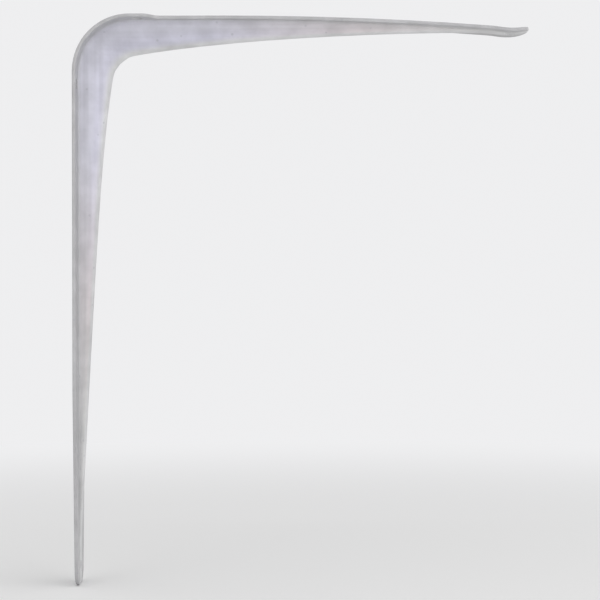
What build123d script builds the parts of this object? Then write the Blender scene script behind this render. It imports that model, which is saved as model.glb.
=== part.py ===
from build123d import *

import os
from math import asin, cos, degrees, exp, radians, sin

# Pressed-steel shelf bracket, 250 x 200 mm.
#
# One piece of sheet steel: two flat arms at right angles with a hollow rib pressed along
# their middle. The rib is deepest round the corner and fades out before both tips.
# The wall arm stands in the plane X = 0 and the shelf arm runs out along +X. Y is across
# the bracket and Z is up. The bracket is drawn from the corner where the wall plane meets
# the shelf plane, and is then moved so that the origin lies on the wall plane, midway
# between the two upper wall screws. Lengths are in millimetres and angles in degrees.

# ---- Arms, side view ----
wall_arm = 250.0  # shelf plane down to the lower tip
shelf_arm = 200.0  # wall plane out to the outer tip
sheet = 1.5  # thickness of the steel
corner_radius = 25.0  # outside of the bend between the arms
droop_start = 64.0  # the shelf arm is level up to here
droop_radius = 1550.0  # the gentle downward bend of the rest of it
dip_radius = 60.0  # sharper bend just before the outer screw hole
dip_slope = 9.2  # steepest slope, where the dip turns into the upturned lip
lip_radius = 28.0  # the lip, level at the outer screw hole

# ---- Arms, seen square on ----
wide_half_width = 15.5  # flanges round the corner and beside the paired screws
wall_wide_to = 165.0  # the wall arm narrows evenly from here to its tip
shelf_wide_to = 31.5  # the shelf arm steps in here, just past its paired screws
step_run = 5.0  # length over which the shelf arm steps in
step_round = 4.0  # rounding of both corners of that step
shelf_half_width = 9.6  # the shelf arm just past the step
tip_half_width = 9.2  # flanges at the tips
tip_corner = 7.0  # rounding of the tips
edge_round = 0.3  # the blanked edges, softened by rumbling and paint

# ---- Rib ----
corner_depth = 17.5  # mounting face to the rib's crown, in the middle of the bend
root_depth = 16.5  # the same at both ends of the bend
wall_taper_depth = 13.0  # the wall arm's straight taper, carried back to the bend
shelf_taper_depth = 14.0  # the same for the shelf arm
wall_fade = 28.0  # length over which the extra depth at the bend dies away
shelf_fade = 22.0
corner_rib_half_width = 6.2
tip_rib_half_width = 4.2
rib_root_round = 2.3  # concave bend between flange and rib, at full depth
shallow_round = 0.4  # that bend's share of the rib's height where the rib is shallow
tongue = 17.0  # flat end of each arm, past the rib

# ---- Screw holes ----
screw_hole = 4.8
wall_pair_drop = 30.0  # shelf plane down to the wall arm's paired holes
shelf_pair_reach = 28.0  # wall plane out to the shelf arm's paired holes
pair_spacing = 22.0  # between the two holes of a pair
tip_hole_setback = 8.0  # from a tip to the hole in its tongue

foot = 0.25  # how far the rib's sections are sunk into the flange, so that they join
corner_steps = 4  # the rib's sections round the bend
rib_pitch = 10.0  # and about how far apart they are along the arms
spare = 1.0  # how far a cutter or blank reaches past what it has to clear
full_slope = 0.999  # share of a direction past which an edge counts as lying along Y

foot_depth = sheet - foot
bend_angle = 90
arm_sides = (-1, 1)
tip_hole_reach = shelf_arm - tip_hole_setback

# Slopes at the joints between the shelf arm's bends. The lip is level at the outer hole.
dip_end = tip_hole_reach - lip_radius * sin(radians(dip_slope))
dip_origin = dip_end - dip_radius * sin(radians(dip_slope))
droop_angle = degrees(asin((dip_origin - droop_start) / (droop_radius - dip_radius)))
lip_angle = degrees(asin(tip_hole_setback / lip_radius))


def side_band():
    """The sheet's thickness along both arms, in side view, as a long strip across Y."""
    with BuildSketch(Plane.XZ) as profile:
        with BuildLine():
            wall = Line((0, -wall_arm), (0, -corner_radius))
            corner = JernArc(wall @ 1, wall % 1, corner_radius, -bend_angle)
            level = Line(corner @ 1, (droop_start, 0))
            droop = JernArc(level @ 1, level % 1, droop_radius, -droop_angle)
            dip = JernArc(droop @ 1, droop % 1, dip_radius, droop_angle - dip_slope)
            JernArc(dip @ 1, dip % 1, lip_radius, dip_slope + lip_angle)
            offset(amount=sheet, side=Side.RIGHT)
        make_face()
    return extrude(profile.sketch, amount=wide_half_width + spare, both=True)


def arm_outline(side, step_corners):
    """An arm seen square on, from half its outline: distance along the arm, half width."""
    length = side[-1][0]
    outline = make_face(Polyline(*side, *[(x, -y) for x, y in reversed(side)], close=True))

    def corners(places):
        return [v for v in outline.vertices() if any(abs(v.X - x) < sheet for x in places)]

    outline = fillet(corners([length]), tip_corner)
    if step_corners:
        outline = fillet(corners(step_corners), step_round)
    return outline


def flange():
    """Both arms' flat sheet and the bend between them, cut to its outline, before the rib."""
    mitre = Plane(origin=(0, 0, 0), x_dir=(0, 1, 0), z_dir=(1, 0, 1))
    wall_plane = Plane(origin=(-spare, 0, 0), x_dir=(0, 0, -1), z_dir=(1, 0, 0))
    shelf_plane = Plane(origin=(0, 0, spare), x_dir=(1, 0, 0), z_dir=(0, 0, -1))
    wall_side = [
        (0, wide_half_width),
        (wall_wide_to, wide_half_width),
        (wall_arm, tip_half_width),
    ]
    step_end = shelf_wide_to + step_run
    shelf_side = [
        (0, wide_half_width),
        (shelf_wide_to, wide_half_width),
        (step_end, shelf_half_width),
        (shelf_arm, tip_half_width),
    ]
    wall_outline = arm_outline(wall_side, [])
    shelf_outline = arm_outline(shelf_side, [shelf_wide_to, step_end])
    band = side_band()
    halves = []
    for plane, outline, half in (
        (wall_plane, wall_outline, Keep.BOTTOM),
        (shelf_plane, shelf_outline, Keep.TOP),
    ):
        cutter = extrude(plane * outline, amount=corner_radius + 2 * spare)
        halves.append(split(band, bisect_by=mitre, keep=half) & cutter)
    sheet_body = halves[0] + halves[1]
    return fillet(rim_edges(sheet_body), edge_round)


def rim_edges(sheet_body):
    """The outline's edges on both faces, without those across the sheet or its thickness."""
    tip_flat = 2 * (tip_half_width - tip_corner)

    def crosses(edge):
        return abs(edge.tangent_at(0.5).Y) > full_slope and edge.length > tip_flat + spare

    return [e for e in sheet_body.edges() if e.length > 1.05 * sheet and not crosses(e)]


def wall_station(along):
    """Plane across the rib on the wall arm, its Y axis pointing in from the wall."""
    return Plane(origin=(0, 0, -corner_radius - along), x_dir=(0, -1, 0), z_dir=(0, 0, 1))


def corner_station(turn):
    """Plane across the rib in the bend, turned from the wall arm's root."""
    a = radians(turn)
    origin = (corner_radius * (1 - cos(a)), 0, -corner_radius * (1 - sin(a)))
    return Plane(origin=origin, x_dir=(0, -1, 0), z_dir=(sin(a), 0, cos(a)))


def shelf_station(along):
    """Plane across the rib on the shelf arm, square to its droop."""
    reach = corner_radius + along
    a = asin(max(reach - droop_start, 0) / droop_radius)
    drop = droop_radius * (1 - cos(a))
    return Plane(origin=(reach, 0, -drop), x_dir=(0, -1, 0), z_dir=(cos(a), 0, -sin(a)))


def rib_section(plane, height, half_width, skin):
    """One cross-section of the rib's outer skin, or of the hollow one sheet inside it.

    A half ellipse stands on two concave bends. Skin is 0 for the outer surface and 1 for
    the hollow, which is narrower by a full sheet only where the rib is deep.
    """
    inset = skin * sheet * min(1, height / (2 * sheet))
    root = min(rib_root_round, shallow_round * height)
    base = foot_depth - skin * sheet
    radius = root + inset
    foot_y = half_width + root
    wall_y = half_width - inset
    lift = base + radius
    k = 0.5523  # handle length that makes a cubic curve follow a quarter ellipse
    bend = [
        (foot_y, base),
        (foot_y - k * radius, base),
        (wall_y, lift - k * radius),
        (wall_y, lift),
    ]
    top = base + height
    crown = [
        (wall_y, lift),
        (wall_y, lift + k * (top - lift)),
        (k * wall_y, top),
        (0, top),
    ]
    outline = [
        Line((-foot_y, base), (foot_y, base)),
        Bezier(*bend),
        Bezier(*crown),
        Bezier(*[(-y, d) for y, d in reversed(crown)]),
        Bezier(*[(-y, d) for y, d in reversed(bend)]),
    ]
    return plane * Face(Wire(outline))


def arm_sections(length, taper_depth, fade, station):
    """Stations of the rib along one arm, from the bend out to its tongue."""
    run = length - tongue - corner_radius
    steps = round(run / rib_pitch)
    sections = []
    for step in range(steps + 1):
        share = step / steps
        along = run * share
        height = foot + (taper_depth - sheet) * (1 - share)
        height += (root_depth - taper_depth) * exp(-along / fade)
        half_width = corner_rib_half_width * (1 - share) + tip_rib_half_width * share
        sections.append((station(along), height, half_width))
    return sections


def rib_skin(skin):
    """The rib's outer body, or its hollow, lofted from tip to tip."""
    stations = arm_sections(wall_arm, wall_taper_depth, wall_fade, wall_station)[::-1]
    for step in range(1, corner_steps):
        turn = bend_angle * step / corner_steps
        from_middle = 2 * turn / bend_angle - 1
        depth = corner_depth - (corner_depth - root_depth) * from_middle**2
        stations.append((corner_station(turn), depth - foot_depth, corner_rib_half_width))
    stations += arm_sections(shelf_arm, shelf_taper_depth, shelf_fade, shelf_station)
    return loft([rib_section(*station, skin) for station in stations])


def screw_holes():
    """Drills for the paired holes beside the rib and the single hole in each tongue."""
    drill = Cylinder(screw_hole / 2, 4 * sheet)
    to_wall = Rot(0, 90, 0)
    drills = []
    for side in arm_sides:
        y = side * pair_spacing / 2
        drills.append(Pos(0, y, -wall_pair_drop) * to_wall * drill)
        drills.append(Pos(shelf_pair_reach, y, 0) * drill)
    drills.append(Pos(0, 0, -wall_arm + tip_hole_setback) * to_wall * drill)
    drills.append(Pos(tip_hole_reach, 0, -tip_hole_drop()) * drill)
    return drills


def tip_hole_drop():
    """Height lost along the shelf arm's bends, from the level part to the outer hole."""
    drop = droop_radius * (1 - cos(radians(droop_angle)))
    drop += dip_radius * (cos(radians(droop_angle)) - cos(radians(dip_slope)))
    return drop + lip_radius * (1 - cos(radians(dip_slope)))


def bracket():
    """The whole pressing, with the origin between the upper wall screws."""
    body = flange() + rib_skin(0)
    body -= rib_skin(1)
    body -= screw_holes()
    return Pos(0, 0, wall_pair_drop) * body


os.makedirs("parts", exist_ok=True)
bracket_body = bracket()
export_step(bracket_body, "parts/bracket_body.step")
print("volume mm3", round(bracket_body.volume, 1), "solids", len(bracket_body.solids()))
print("box", bracket_body.bounding_box())
print("outer hole below the shelf plane", round(tip_hole_drop(), 3))
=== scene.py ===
from math import radians

import bpy
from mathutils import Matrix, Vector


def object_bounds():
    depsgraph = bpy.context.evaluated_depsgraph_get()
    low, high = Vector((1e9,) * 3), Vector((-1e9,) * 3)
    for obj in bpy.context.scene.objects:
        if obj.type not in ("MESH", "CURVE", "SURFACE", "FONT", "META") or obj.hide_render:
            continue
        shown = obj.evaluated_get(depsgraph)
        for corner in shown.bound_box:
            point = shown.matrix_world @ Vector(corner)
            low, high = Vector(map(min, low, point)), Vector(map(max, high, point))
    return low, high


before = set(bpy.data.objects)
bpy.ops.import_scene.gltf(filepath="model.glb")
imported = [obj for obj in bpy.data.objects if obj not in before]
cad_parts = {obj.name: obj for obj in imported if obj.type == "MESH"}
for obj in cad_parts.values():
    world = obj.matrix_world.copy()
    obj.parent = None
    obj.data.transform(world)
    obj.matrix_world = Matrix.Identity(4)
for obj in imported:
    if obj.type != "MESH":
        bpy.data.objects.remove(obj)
size_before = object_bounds()


# ---- The pressing: mild steel sheet under light grey stoving enamel ----
# One sheet pressed between two dies, then sprayed and baked. The enamel is semi-gloss with
# a fine orange peel. Along the rib's sides it looks cooler and a little lavender round the
# corner, warmer halfway down the arms and neutral at the tips.
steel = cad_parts["bracket_body"]
enamel = bpy.data.materials.new("grey enamel")
enamel.use_nodes = True
nodes = enamel.node_tree.nodes
join = enamel.node_tree.links.new
shader = nodes["Principled BSDF"]
shader.inputs["Roughness"].default_value = 0.4
shader.inputs["Coat Weight"].default_value = 0.2
shader.inputs["Coat Roughness"].default_value = 0.2
where = nodes.new("ShaderNodeTexCoord")

from_corner = nodes.new("ShaderNodeVectorMath")
from_corner.operation = "DISTANCE"
from_corner.inputs[1].default_value = (0.01, 0, 0.02)
join(where.outputs["Object"], from_corner.inputs[0])
along_arm = nodes.new("ShaderNodeMapRange")
along_arm.inputs["From Max"].default_value = 0.25
join(from_corner.outputs["Value"], along_arm.inputs["Value"])
tint = nodes.new("ShaderNodeValToRGB")
lavender, neutral = tint.color_ramp.elements
lavender.position = 0.20
lavender.color = (0.575, 0.570, 0.665, 1)
neutral.position = 0.66
neutral.color = (0.605, 0.600, 0.590, 1)
warm = tint.color_ramp.elements.new(0.46)
warm.color = (0.630, 0.575, 0.595, 1)
join(along_arm.outputs["Result"], tint.inputs["Fac"])

# Across the sheet, the flanges and the fold at the rib's foot are painted darker and
# greyer as painted shade, and the rib's crown is painted paler as a painted highlight. The
# rib narrows towards the tips, so the fold comes closer to the middle with the distance
# from the corner.
place = nodes.new("ShaderNodeSeparateXYZ")
join(where.outputs["Object"], place.inputs["Vector"])
off_middle = nodes.new("ShaderNodeMath")
off_middle.operation = "ABSOLUTE"
join(place.outputs["Y"], off_middle.inputs[0])
narrowing = nodes.new("ShaderNodeMath")
narrowing.operation = "MULTIPLY_ADD"
narrowing.inputs[1].default_value = 0.016
join(from_corner.outputs["Value"], narrowing.inputs[0])
join(off_middle.outputs["Value"], narrowing.inputs[2])
fold = nodes.new("ShaderNodeMapRange")
fold.interpolation_type = "SMOOTHSTEP"
fold.inputs["From Min"].default_value = 0.0052
fold.inputs["From Max"].default_value = 0.0088
join(narrowing.outputs["Value"], fold.inputs["Value"])
crown = nodes.new("ShaderNodeMapRange")
crown.interpolation_type = "SMOOTHSTEP"
crown.inputs["From Min"].default_value = 0.0045
crown.inputs["From Max"].default_value = 0.0020
join(off_middle.outputs["Value"], crown.inputs["Value"])
# Painted shade: the flanges and the fold at the rib's foot are mixed towards a darker
# grey.
fold_painted_shade = nodes.new("ShaderNodeMix")
fold_painted_shade.data_type = "RGBA"
fold_painted_shade.inputs["B"].default_value = (0.440, 0.438, 0.450, 1)
join(fold.outputs["Result"], fold_painted_shade.inputs["Factor"])
join(tint.outputs["Color"], fold_painted_shade.inputs["A"])
# Painted highlight: the rib's crown is mixed towards a paler grey.
crown_painted_highlight = nodes.new("ShaderNodeMix")
crown_painted_highlight.data_type = "RGBA"
crown_painted_highlight.inputs["B"].default_value = (0.640, 0.640, 0.650, 1)
join(crown.outputs["Result"], crown_painted_highlight.inputs["Factor"])
join(fold_painted_shade.outputs["Result"], crown_painted_highlight.inputs["A"])

# Soft patches, a few millimetres across, where the coat is thicker or thinner.
patches = nodes.new("ShaderNodeTexNoise")
patches.inputs["Scale"].default_value = 130
patches.inputs["Detail"].default_value = 3
patches.inputs["Roughness"].default_value = 0.5
join(where.outputs["Object"], patches.inputs["Vector"])
patch_tone = nodes.new("ShaderNodeMapRange")
patch_tone.inputs["From Min"].default_value = 0.32
patch_tone.inputs["From Max"].default_value = 0.68
patch_tone.inputs["To Min"].default_value = 0.90
patch_tone.inputs["To Max"].default_value = 1.08
join(patches.outputs["Fac"], patch_tone.inputs["Value"])

# Faint draw marks run along each arm. A place belongs to the shelf arm once it is further
# out from the wall than it is below the shelf plane.
draw_marks = []
for stretch in ((420, 90, 11), (11, 90, 420)):
    squeeze = nodes.new("ShaderNodeMapping")
    squeeze.inputs["Scale"].default_value = stretch
    marks = nodes.new("ShaderNodeTexNoise")
    marks.inputs["Scale"].default_value = 1
    marks.inputs["Detail"].default_value = 2
    join(where.outputs["Object"], squeeze.inputs["Vector"])
    join(squeeze.outputs["Vector"], marks.inputs["Vector"])
    draw_marks.append(marks)
diagonal = nodes.new("ShaderNodeVectorMath")
diagonal.operation = "DOT_PRODUCT"
diagonal.inputs[1].default_value = (1, 0, 1)
join(where.outputs["Object"], diagonal.inputs[0])
shelf_share = nodes.new("ShaderNodeMapRange")
shelf_share.inputs["From Min"].default_value = 0.015
shelf_share.inputs["From Max"].default_value = 0.045
join(diagonal.outputs["Value"], shelf_share.inputs["Value"])
drawn = nodes.new("ShaderNodeMix")
join(shelf_share.outputs["Result"], drawn.inputs["Factor"])
join(draw_marks[0].outputs["Fac"], drawn.inputs["A"])
join(draw_marks[1].outputs["Fac"], drawn.inputs["B"])
draw_tone = nodes.new("ShaderNodeMapRange")
draw_tone.inputs["From Min"].default_value = 0.3
draw_tone.inputs["From Max"].default_value = 0.7
draw_tone.inputs["To Min"].default_value = 0.92
draw_tone.inputs["To Max"].default_value = 1.06
join(drawn.outputs["Result"], draw_tone.inputs["Value"])
tone = nodes.new("ShaderNodeMath")
tone.operation = "MULTIPLY"
join(patch_tone.outputs["Result"], tone.inputs[0])
join(draw_tone.outputs["Result"], tone.inputs[1])
toned = nodes.new("ShaderNodeVectorMath")
toned.operation = "SCALE"
join(crown_painted_highlight.outputs["Result"], toned.inputs[0])
join(tone.outputs["Value"], toned.inputs["Scale"])

# Small pits in the coat, a little darker, and the orange peel over all of it.
pits = nodes.new("ShaderNodeTexVoronoi")
pits.inputs["Scale"].default_value = 170
join(where.outputs["Object"], pits.inputs["Vector"])
pit = nodes.new("ShaderNodeMapRange")
pit.interpolation_type = "SMOOTHSTEP"
pit.inputs["From Min"].default_value = 0.13
pit.inputs["From Max"].default_value = 0.05
pit.inputs["To Max"].default_value = 0.4
join(pits.outputs["Distance"], pit.inputs["Value"])
pitted = nodes.new("ShaderNodeMix")
pitted.data_type = "RGBA"
pitted.inputs["B"].default_value = (0.33, 0.33, 0.37, 1)
join(pit.outputs["Result"], pitted.inputs["Factor"])
join(toned.outputs["Vector"], pitted.inputs["A"])
join(pitted.outputs["Result"], shader.inputs["Base Color"])
peel = nodes.new("ShaderNodeTexNoise")
peel.inputs["Scale"].default_value = 950
join(where.outputs["Object"], peel.inputs["Vector"])
sunk = nodes.new("ShaderNodeMath")
sunk.operation = "MULTIPLY_ADD"
sunk.inputs[1].default_value = -3
join(pit.outputs["Result"], sunk.inputs[0])
join(peel.outputs["Fac"], sunk.inputs[2])
relief = nodes.new("ShaderNodeBump")
relief.inputs["Strength"].default_value = 0.25
relief.inputs["Distance"].default_value = 0.0002
join(sunk.outputs["Value"], relief.inputs["Height"])
join(relief.outputs["Normal"], shader.inputs["Normal"])

for slot in steel.material_slots:
    slot.material = enamel


# ---- Floor: a wide sheet of pale board that the lower tip stands on ----
# Near the bracket it is lit and takes its shadow. Further off it fades to the plain pale
# tone of the air behind it, so that no edge or horizon shows.
lowest = size_before[0][2]
bpy.ops.mesh.primitive_plane_add(size=8, location=(0.1, 0, lowest - 0.0001))
floor = bpy.context.object
floor.name = "floor"
board = bpy.data.materials.new("pale board")
board.use_nodes = True
nodes = board.node_tree.nodes
join = board.node_tree.links.new
paper = nodes["Principled BSDF"]
paper.inputs["Base Color"].default_value = (0.90, 0.90, 0.90, 1)
paper.inputs["Roughness"].default_value = 0.9
paper.inputs["Specular IOR Level"].default_value = 0.1
pale_tone = (0.86, 0.86, 0.87, 1)
haze = nodes.new("ShaderNodeEmission")
haze.inputs["Color"].default_value = pale_tone
where = nodes.new("ShaderNodeTexCoord")
reach = nodes.new("ShaderNodeVectorMath")
reach.operation = "LENGTH"
join(where.outputs["Object"], reach.inputs[0])
fade = nodes.new("ShaderNodeMapRange")
fade.interpolation_type = "SMOOTHSTEP"
fade.inputs["From Min"].default_value = 0.10
fade.inputs["From Max"].default_value = 0.75
join(reach.outputs["Value"], fade.inputs["Value"])
ray = nodes.new("ShaderNodeLightPath")
seen = nodes.new("ShaderNodeMath")
seen.operation = "MULTIPLY"
join(fade.outputs["Result"], seen.inputs[0])
join(ray.outputs["Is Camera Ray"], seen.inputs[1])
blend = nodes.new("ShaderNodeMixShader")
join(seen.outputs["Value"], blend.inputs["Fac"])
join(paper.outputs["BSDF"], blend.inputs[1])
join(haze.outputs["Emission"], blend.inputs[2])
join(blend.outputs["Shader"], nodes["Material Output"].inputs["Surface"])
floor.data.materials.append(board)


# ---- Air behind: one pale tone for the eye, a dimmer even fill for the light ----
# Camera, glossy and transmission rays all see the pale tone, so the enamel mirrors it too.
world = bpy.data.worlds.new("pale air")
bpy.context.scene.world = world
world.use_nodes = True
nodes = world.node_tree.nodes
join = world.node_tree.links.new
fill = nodes["Background"]
fill.inputs["Color"].default_value = (1, 1, 1, 1)
fill.inputs["Strength"].default_value = 0.45
pale = nodes.new("ShaderNodeBackground")
pale.inputs["Color"].default_value = pale_tone
ray = nodes.new("ShaderNodeLightPath")
mirrored = nodes.new("ShaderNodeMath")
mirrored.operation = "MAXIMUM"
join(ray.outputs["Is Glossy Ray"], mirrored.inputs[0])
join(ray.outputs["Is Transmission Ray"], mirrored.inputs[1])
shown = nodes.new("ShaderNodeMath")
shown.operation = "MAXIMUM"
join(ray.outputs["Is Camera Ray"], shown.inputs[0])
join(mirrored.outputs["Value"], shown.inputs[1])
choose = nodes.new("ShaderNodeMixShader")
join(shown.outputs["Value"], choose.inputs["Fac"])
join(fill.outputs["Background"], choose.inputs[1])
join(pale.outputs["Background"], choose.inputs[2])
join(choose.outputs["Shader"], nodes["World Output"].inputs["Surface"])


# ---- Lamps: a broad soft panel low in front, one overhead and one low on the right ----
for name, watts, width, spot, turn in (
    ("front panel", 12.0, 1.3, (0.25, -1.35, -0.35), (98, 0, 6)),
    ("top panel", 8.5, 1.2, (0.10, -0.30, 1.20), (8, 0, 0)),
    ("right panel", 3.5, 0.7, (1.10, -0.40, -0.10), (90, 0, 70)),
):
    bpy.ops.object.light_add(type="AREA", location=spot)
    panel = bpy.context.object
    panel.name = name
    panel.data.size = width
    panel.data.energy = watts
    panel.rotation_euler = [radians(angle) for angle in turn]


# ---- Camera: square on to the side of the bracket, level with the middle of it ----
camera_place = (0.09885, -0.7340, -0.09459)
camera_roll = radians(0.116)
film_width = 36
lens_length = 99.37
bpy.ops.object.camera_add(location=camera_place)
camera = bpy.context.object
camera.rotation_euler = (radians(90), camera_roll, 0)
camera.data.sensor_width = film_width
camera.data.lens = lens_length
bpy.context.scene.camera = camera
bpy.context.scene.view_settings.view_transform = "Standard"
